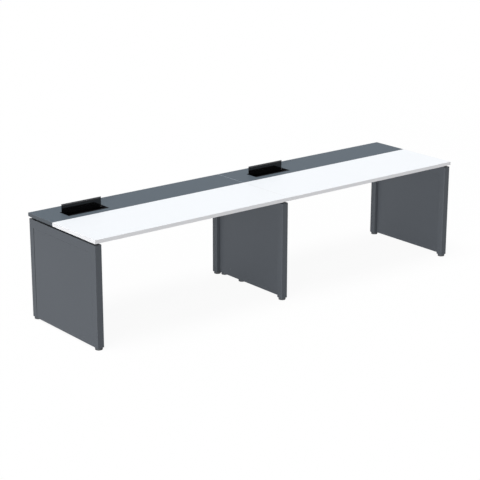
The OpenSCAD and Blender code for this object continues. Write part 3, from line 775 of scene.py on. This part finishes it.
for leg in LEGS:
    low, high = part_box("pad_" + leg)
    radius, x, y = round_of(low, high)
    bore = [(BORE_R, high.z), (BORE_R, BORE_FLOOR), (0, BORE_FLOOR)]
    work = bmesh.new()
    spin(work, foot_section(radius, high.z) + bore, x, y)
    settle(new_piece("pad_" + leg, closed_mesh(work, "pad")), "pad_" + leg)
work = bmesh.new()
for corners in solids_of("riser_feet"):
    low, high = box_of(corners)
    radius, x, y = round_of(low, high)
    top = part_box("riser_channel")[0].z
    pin = [(PIN_R, top), (PIN_R, high.z - PIN_EASE), (PIN_R - PIN_EASE, high.z), (0, high.z)]
    spin(work, foot_section(radius, top) + pin, x, y)
settle(new_piece("riser_feet", closed_mesh(work, "riser_feet")), "riser_feet")
print("feet:", len(LEGS) + 2, "radius in mm:", round(radius / MM, 1))

# %% [markdown]
# What repeats on the desk is made by node trees. Each takes a cloud of points and puts the same shape at
# every point. The helpers below make an empty tree with named sizes, eased pins and copies on points, and
# run a finished tree.

# %% Node tree helpers
PIN_SHRINK = 0.86


def new_tree(name, sizes):
    """An empty geometry tree with a mesh input and named sizes, and a graph to fill it."""
    tree = bpy.data.node_groups.new(name, "GeometryNodeTree")
    tree.interface.new_socket("Geometry", in_out="INPUT", socket_type="NodeSocketGeometry")
    for size in sizes:
        tree.interface.new_socket(size, in_out="INPUT", socket_type="NodeSocketFloat")
    tree.interface.new_socket("Geometry", in_out="OUTPUT", socket_type="NodeSocketGeometry")
    graph = Graph(tree)
    start = tree.nodes.new("NodeGroupInput")
    return graph, {s.name: Wire(graph, s) for s in start.outputs if s.name}


def other(wire, name):
    """Another output of the node that a wire comes from."""
    return Wire(wire.graph, wire.socket.node.outputs[name])


def join(graph, *parts):
    made = graph.tree.nodes.new("GeometryNodeJoinGeometry")
    for part in parts:
        graph.tree.links.new(part.socket, made.inputs[0])
    return Wire(graph, made.outputs[0])


def lift(graph, shape, z, turn=(0.0, 0.0, 0.0)):
    up = graph.node("ShaderNodeCombineXYZ", None, {"Z": z})
    return graph.node("GeometryNodeTransform", None, {"Geometry": shape, "Translation": up, "Rotation": turn})


def turned_pin(graph, steps, radius, length, ease, shrink=PIN_SHRINK):
    """A pin that stands on the origin, with its far end eased."""
    rod = graph.node("GeometryNodeMeshCylinder", None,
                     {"Vertices": steps, "Radius": radius, "Depth": length - ease})
    end = graph.node("GeometryNodeExtrudeMesh", None,
                     {"Mesh": rod, "Selection": other(rod, "Top"), "Offset Scale": ease})
    eased = graph.node("GeometryNodeScaleElements", None,
                       {"Geometry": end, "Selection": other(end, "Top"), "Scale": shrink})
    return lift(graph, eased, (length - ease) * 0.5)


def put_on_points(graph, points, shape, turn=(0.0, 0.0, 0.0), chosen=True):
    return graph.node("GeometryNodeInstanceOnPoints", None,
                      {"Points": points, "Instance": shape, "Rotation": turn, "Selection": chosen})


def end_tree(graph, shape, finish):
    """Makes the instances real, sets their finish and ends the tree."""
    real = graph.node("GeometryNodeRealizeInstances", None, {"Geometry": shape})
    coated = graph.node("GeometryNodeSetMaterial", None, {"Geometry": real})
    coated.socket.node.inputs["Material"].default_value = finish
    end = graph.tree.nodes.new("NodeGroupOutput")
    graph.tree.links.new(coated.socket, end.inputs[0])
    return graph.tree


def cloud_of(name, points):
    """A mesh of loose points, for a tree to put shapes on."""
    mesh = bpy.data.meshes.new(name)
    mesh.from_pydata(points, [], [])
    return mesh


def grow(node, mesh, tree, sizes):
    """Runs a tree on a cloud of points with the given sizes, and settles the plain mesh in the desk."""
    piece = new_piece(node, mesh)
    grown = piece.modifiers.new(tree.name, "NODES")
    grown.node_group = tree
    for item in tree.interface.items_tree:
        if item.item_type == "SOCKET" and item.in_out == "INPUT" and item.name in sizes:
            grown[item.identifier] = sizes[item.name]
    settle(plain_mesh(piece), node)


print("node tree helpers ready")

# %% [markdown]
# Screws, bolts and rivets differ only in their sizes and in what drives them, so one kind of tree makes them
# all: a turned head with a driver's recess, and a shank. Each point says which way its head looks out. The
# named inputs are the sizes that a fastener list would give, and each head is turned by its own chance angle.

# %% Fastener tree
HEAD_STEPS, SHANK_STEPS, HEX = 28, 20, 6
HEAD_EASE, TIP_EASE = 0.28, 0.3
CROSS_ARM, RECESS_DEEP, DRIVE_WIDE = 0.34, 0.62, 0.55
TURN_SEED, TURN_MOST = 7, 3.1
FASTENER_SIZES = ["Head Radius", "Head Height", "Shank Radius", "Shank Length", "Drive Radius"]


def recess_cutters(g, drive, radius, depth):
    """What cuts the recess: a hexagon, two crossed bars, or nothing for a rivet."""
    if drive == "hex":
        return [g.node("GeometryNodeMeshCylinder", None,
                       {"Vertices": HEX, "Radius": radius, "Depth": depth * 2})]
    if drive == "cross":
        long, thin = radius * 2, radius * CROSS_ARM
        bars = [g.node("ShaderNodeCombineXYZ", None, {"X": x, "Y": y, "Z": depth * 2})
                for x, y in ((long, thin), (thin, long))]
        return [g.node("GeometryNodeMeshCube", None, {"Size": bar}) for bar in bars]
    return []


def fastener_tree(drive, finish):
    """The node tree of one kind of fastener: its head is driven by a hex, a cross or nothing."""
    g, size = new_tree("fastener_" + drive, FASTENER_SIZES)
    tall = size["Head Height"]
    head = turned_pin(g, HEAD_STEPS, size["Head Radius"], tall, tall * HEAD_EASE)
    cutters = recess_cutters(g, drive, size["Drive Radius"], tall * RECESS_DEEP)
    if cutters:
        cut = g.node("GeometryNodeMeshBoolean", {"operation": "DIFFERENCE", "solver": "EXACT"},
                     {"Mesh 1": head})
        for cutter in cutters:
            g.tree.links.new(lift(g, cutter, tall).socket, cut.socket.node.inputs["Mesh 2"])
        head = cut
    shank = turned_pin(g, SHANK_STEPS, size["Shank Radius"], size["Shank Length"],
                       size["Shank Radius"] * TIP_EASE)
    shank = lift(g, shank, 0.0, (math.pi, 0.0, 0.0))
    out = g.node("GeometryNodeInputNamedAttribute", {"data_type": "FLOAT_VECTOR"}, {"Name": "out"})
    facing = g.node("FunctionNodeAlignRotationToVector", {"axis": "Z"}, {"Vector": out})
    chance = g.node("FunctionNodeRandomValue", {"data_type": "FLOAT"}, {"Seed": TURN_SEED}, out=1)
    own_turn = g.node("FunctionNodeAxisAngleToRotation", None,
                      {"Axis": (0, 0, 1), "Angle": chance * TURN_MOST})
    facing = g.node("FunctionNodeRotateRotation", {"rotation_space": "LOCAL"},
                    {"Rotation": facing, "Rotate By": own_turn})
    return end_tree(g, put_on_points(g, size["Geometry"], join(g, head, shank), facing), finish)


TREES = {drive: fastener_tree(drive, zinc) for drive in ("cross", "hex", "plain")}
print("fastener trees:", len(TREES))

# %% [markdown]
# The points come from the solids themselves. The long way of each solid is its axis, and the wide end is its
# head, so a measure of one screw also gives the sizes of its kind.

# %% Measure the screws and put them in
AXIS_X, AXIS_Y, AXIS_Z = 0, 1, 2
FASTENERS = {
    "panel_screws": (AXIS_Y, "cross"), "beam_bolts": (AXIS_X, "hex"), "top_screws": (AXIS_Z, "cross"),
    "tub_screws": (AXIS_Z, "cross"), "tray_bolts": (AXIS_Y, "hex"), "riser_rivets": (AXIS_X, "plain"),
}


def measure(corners, axis):
    """Where a fastener seats, which way its head looks, and its sizes, from the corners of its solid."""
    reach = reach_by_level(corners, axis)
    levels = sorted(reach)
    head_up = reach[levels[-1]] > reach[levels[0]]
    seat = levels[-2] if head_up else levels[1]
    if len(levels) == 2:
        seat = levels[0]
    low, high = box_of(corners)
    point = (low + high) / 2
    point[axis] = seat
    out = Vector((0, 0, 0))
    out[axis] = 1 if head_up else -1
    tip, top = (levels[0], levels[-1]) if head_up else (levels[-1], levels[0])
    wide, thin = max(reach.values()), min(reach.values())
    return point, out, {"Head Radius": wide, "Head Height": abs(top - seat), "Shank Radius": thin,
                        "Shank Length": abs(seat - tip), "Drive Radius": wide * DRIVE_WIDE}


for node, (axis, drive) in FASTENERS.items():
    points, outs, sizes = zip(*(measure(corners, axis) for corners in solids_of(node)))
    mesh = cloud_of(node, points)
    way = mesh.attributes.new("out", "FLOAT_VECTOR", "POINT")
    way.data.foreach_set("vector", [v for out in outs for v in out])
    grow(node, mesh, TREES[drive], sizes[0])
    print(node, len(points), {k: round(v / MM, 2) for k, v in sizes[0].items()})

# %% [markdown]
# The spacers hold the tops off the frame and make the shadow gap. They are moulded rings with a small radius
# on both rims, and plain discs over the posts where no screw passes. One tree makes both: a rounded section
# swept round a circle gives the ring, and an eased pin gives the disc.

# %% Spacer tree
SPACER_STEPS, RING_EDGE, EDGE_STEPS, DISC_SHRINK = 40, 1.0 * MM, 3, 0.92

g, size = new_tree("spacers", ["Outer Radius", "Bore Radius", "Height"])
wide = size["Outer Radius"] - size["Bore Radius"]
path = g.node("GeometryNodeCurvePrimitiveCircle", {"mode": "RADIUS"},
              {"Resolution": SPACER_STEPS, "Radius": (size["Outer Radius"] + size["Bore Radius"]) * 0.5})
section = g.node("GeometryNodeCurvePrimitiveQuadrilateral", {"mode": "RECTANGLE"},
                 {"Width": wide, "Height": size["Height"]})
section = g.node("GeometryNodeFilletCurve", {"mode": "POLY"},
                 {"Curve": section, "Radius": RING_EDGE, "Count": EDGE_STEPS, "Limit Radius": True})
ring = g.node("GeometryNodeCurveToMesh", None, {"Curve": path, "Profile Curve": section})
disc = turned_pin(g, SPACER_STEPS, size["Outer Radius"], size["Height"], RING_EDGE, DISC_SHRINK)
disc = lift(g, disc, size["Height"] * -0.5)
bored = g.node("GeometryNodeInputNamedAttribute", {"data_type": "BOOLEAN"}, {"Name": "bored"})
solid = g.node("FunctionNodeBooleanMath", {"operation": "NOT"}, {0: bored})
rings = put_on_points(g, size["Geometry"], ring, chosen=bored)
discs = put_on_points(g, size["Geometry"], disc, chosen=solid)
spacer_tree = end_tree(g, join(g, rings, discs), spacer_black)
print("nodes in the spacer tree:", len(spacer_tree.nodes))

# %% [markdown]
# A spacer's solid with a bore has corners close to its axis, and a plain disc has none nearer than half its
# radius. That tells the two kinds apart, and the tree reads it as a mark on each point.

# %% Spacers
groups = solids_of("top_spacers")
boxes = [box_of(corners) for corners in groups]
centres = [(low + high) / 2 for low, high in boxes]
radii = [[math.hypot(c.x - m.x, c.y - m.y) for c in corners] for corners, m in zip(groups, centres)]
outer, bore = max(radii[0]), min(min(r) for r in radii)
has_bore = [min(r) < outer / 2 for r in radii]
height = boxes[0][1].z - boxes[0][0].z
mesh = cloud_of("top_spacers", centres)
mesh.attributes.new("bored", "BOOLEAN", "POINT").data.foreach_set("value", has_bore)
grow("top_spacers", mesh, spacer_tree, {"Outer Radius": outer, "Bore Radius": bore, "Height": height})
print("spacers:", len(groups), "bored:", sum(has_bore), "outer, bore, height in mm:",
      [round(v / MM, 2) for v in (outer, bore, height)])

# %% [markdown]
# A levelling stud is turned from hexagon bar: a plain pivot that the pad clips on, a hexagon collar for the
# spanner, and a shank with a rolled thread. The thread is one ridge on a real helix, at the pitch that ties
# the pad's lift to the stud's turn, so a marked point on it stays on the thread when the foot is set.

# %% Stud tree
THREAD_PITCH, RIDGE = 1.5 * MM, 0.75 * MM
PIVOT_STEPS, CORE_STEPS, HELIX_STEPS, RIDGE_CORNERS = 32, 28, 24, 4
COLLAR_SHRINK = 0.95

g, size = new_tree("levelling_stud", ["Pivot Radius", "Pivot Height", "Collar Radius", "Collar Height",
                                      "Thread Radius", "Thread Length", "Pitch", "Ridge"])
ease = size["Ridge"]
pivot = turned_pin(g, PIVOT_STEPS, size["Pivot Radius"], size["Pivot Height"], ease)
collar = turned_pin(g, HEX, size["Collar Radius"], size["Collar Height"], ease, COLLAR_SHRINK)
collar = lift(g, collar, size["Pivot Height"])
shank_z = size["Pivot Height"] + size["Collar Height"]
root = size["Thread Radius"] - size["Ridge"]
core = lift(g, turned_pin(g, CORE_STEPS, root, size["Thread Length"], ease), shank_z)
run = size["Thread Length"] - size["Pitch"] * 2
helix = g.node("GeometryNodeCurveSpiral", None,
               {"Resolution": HELIX_STEPS, "Rotations": run / size["Pitch"], "Start Radius": root,
                "End Radius": root, "Height": run})
tooth = g.node("GeometryNodeCurvePrimitiveCircle", {"mode": "RADIUS"},
               {"Resolution": RIDGE_CORNERS, "Radius": size["Ridge"]})
thread = g.node("GeometryNodeCurveToMesh", None,
                {"Curve": helix, "Profile Curve": tooth, "Fill Caps": True})
thread = lift(g, thread, shank_z + size["Pitch"])
whole = put_on_points(g, size["Geometry"], join(g, pivot, collar, core, thread))
stud_tree = end_tree(g, whole, turned_steel)
print("nodes in the stud tree:", len(stud_tree.nodes))

# %% [markdown]
# Each stud's solid steps from pivot to collar to shank. The levels of its corners, with how far they reach
# from the axis, give the tree all its sizes but the thread's.

# %% Levelling studs
for leg in LEGS:
    node = "stud_" + leg
    (corners,) = solids_of(node)
    low, high = box_of(corners)
    radius, x, y = round_of(low, high)
    reach = reach_by_level(corners, AXIS_Z)
    foot, collar_low, shank_low, *rest = sorted(reach)
    grow(node, cloud_of(node, [(x, y, low.z)]), stud_tree,
         {"Pivot Radius": reach[foot], "Pivot Height": collar_low - foot,
          "Collar Radius": max(reach.values()), "Collar Height": shank_low - collar_low,
          "Thread Radius": reach[rest[-1]], "Thread Length": rest[-1] - shank_low,
          "Pitch": THREAD_PITCH, "Ridge": RIDGE})
print("last stud's levels in mm:", {round(k / MM, 2): round(v / MM, 2) for k, v in sorted(reach.items())})

# %% [markdown]
# What is left keeps its solid: the boards, whose edges the bands cover, the nuts and inserts inside the
# tubes, and the hinge pins. Each solid of the desk gets its finish here, the hidden ones too.

# %% Finish the solids
for node, slot in SLOT_OF.items():
    piece = frame["nodes"][node]
    piece.data.materials.clear()
    piece.data.materials.append(LOOKS[slot])
print("solids finished:", len(SLOT_OF))

# %% [markdown]
# The camera stands where the photograph's did. Its place, turn and lens came from fitting the desk's own
# corners and edges, so the picture can be laid over the photograph.

# %% Camera
LENS_PX, FRAME_PX, SENSOR = 1499.32, 480, 36.0
CAMERA_AT = (-6.50585, -7.93439, 3.53789)
YAW, PITCH, ROLL = (math.radians(degrees) for degrees in (38.86, 17.31, 0.10))
CLIP_NEAR, CLIP_FAR = 0.1, 200.0

camera_data = bpy.data.cameras.new("photo_camera")
camera_data.sensor_width, camera_data.sensor_fit = SENSOR, "HORIZONTAL"
camera_data.lens = LENS_PX / FRAME_PX * SENSOR
camera_data.clip_start, camera_data.clip_end = CLIP_NEAR, CLIP_FAR
camera = new_object("photo_camera", camera_data)
camera.location = CAMERA_AT
look = Euler((math.pi / 2 - PITCH, 0.0, -YAW)).to_matrix() @ Euler((0.0, 0.0, ROLL)).to_matrix()
camera.rotation_euler = look.to_euler()
bpy.context.scene.camera = camera
print("lens in mm:", round(camera_data.lens, 2))

# %% [markdown]
# The light is a plain studio. A pale sky comes from all round, and one large soft lamp hangs high and leans
# to the left, so that it brightens the left end's outer face. A low one from the camera's left reaches the
# panels under the tops. It is narrow, so that each leg's shadow stays off the rear post of the next leg.
# Together they are set so that a colour facing up renders about as it is written.

# %% Light
SKY_LEVEL = 0.26
KEY_LEVEL, KEY_FROM, KEY_SPREAD = 0.71, (-0.27, 0.0, 1.0), 32
FILL_LEVEL, FILL_FROM, FILL_SPREAD = 0.80, (-0.86, -0.48, 0.09), 12
FULL_WHITE = (1.0, 1.0, 1.0, 1.0)

world = bpy.data.worlds.new("studio")
bpy.context.scene.world = world
world.use_nodes = True
sky = Graph(world.node_tree)
seen = sky.node("ShaderNodeLightPath", out="Is Camera Ray")
shown = sky.node("ShaderNodeMath", {"operation": "MAXIMUM"},
                 {0: other(seen, "Is Glossy Ray"), 1: other(seen, "Is Transmission Ray")})
shown = sky.node("ShaderNodeMath", {"operation": "MAXIMUM"}, {0: seen, 1: shown})
pale = sky.node("ShaderNodeBackground", None,
                {"Color": FULL_WHITE, "Strength": shown * (1.0 - SKY_LEVEL) + SKY_LEVEL})
sky.node("ShaderNodeOutputWorld", None, {"Surface": pale})


def soft_lamp(name, level, source, spread):
    data = bpy.data.lights.new(name, "SUN")
    data.energy = level * math.pi
    data.angle = math.radians(spread)
    new_object(name, data).rotation_euler = Vector(source).to_track_quat("Z", "Y").to_euler()


soft_lamp("key_lamp", KEY_LEVEL, KEY_FROM, KEY_SPREAD)
soft_lamp("fill_lamp", FILL_LEVEL, FILL_FROM, FILL_SPREAD)
print("lamps set")

# %% [markdown]
# The floor is plain and pale and goes past the picture on all sides. Seen straight on it glows a little, so
# the shadow of the desk stays but does not grey the whole floor. What it throws back at the desk is darker
# than what is seen of it, so that it doesn't light the desk from below.

# %% Floor
FLOOR_REACH, FLOOR_GLOW = 60.0, 0.94
PALE, BOUNCE = (0.98, 0.98, 0.98, 1.0), (0.36, 0.36, 0.36, 1.0)

R = FLOOR_REACH
floor_mesh = bpy.data.meshes.new("floor")
floor_mesh.from_pydata([(-R, -R, 0), (R, -R, 0), (R, R, 0), (-R, R, 0)], [], [(0, 1, 2, 3)])
floor = new_object("floor", floor_mesh)
paint = Finish("pale_floor")
seen = paint.node("ShaderNodeLightPath", out="Is Camera Ray")
matt = paint.node("ShaderNodeBsdfDiffuse", None, {"Color": paint.blend(seen, BOUNCE, PALE)})
glow = paint.node("ShaderNodeEmission", None, {"Color": FULL_WHITE, "Strength": 1.0})
both = paint.node("ShaderNodeMixShader", None, {0: seen * FLOOR_GLOW, 1: matt, 2: glow})
paint.node("ShaderNodeOutputMaterial", None, {"Surface": both})
floor.data.materials.append(paint.material)
floor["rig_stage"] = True
print("floor laid")

# %% [markdown]
# Last, the size of the dressed desk is measured.

# %% Finish
bpy.context.scene.view_settings.view_transform = "Standard"
low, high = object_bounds()
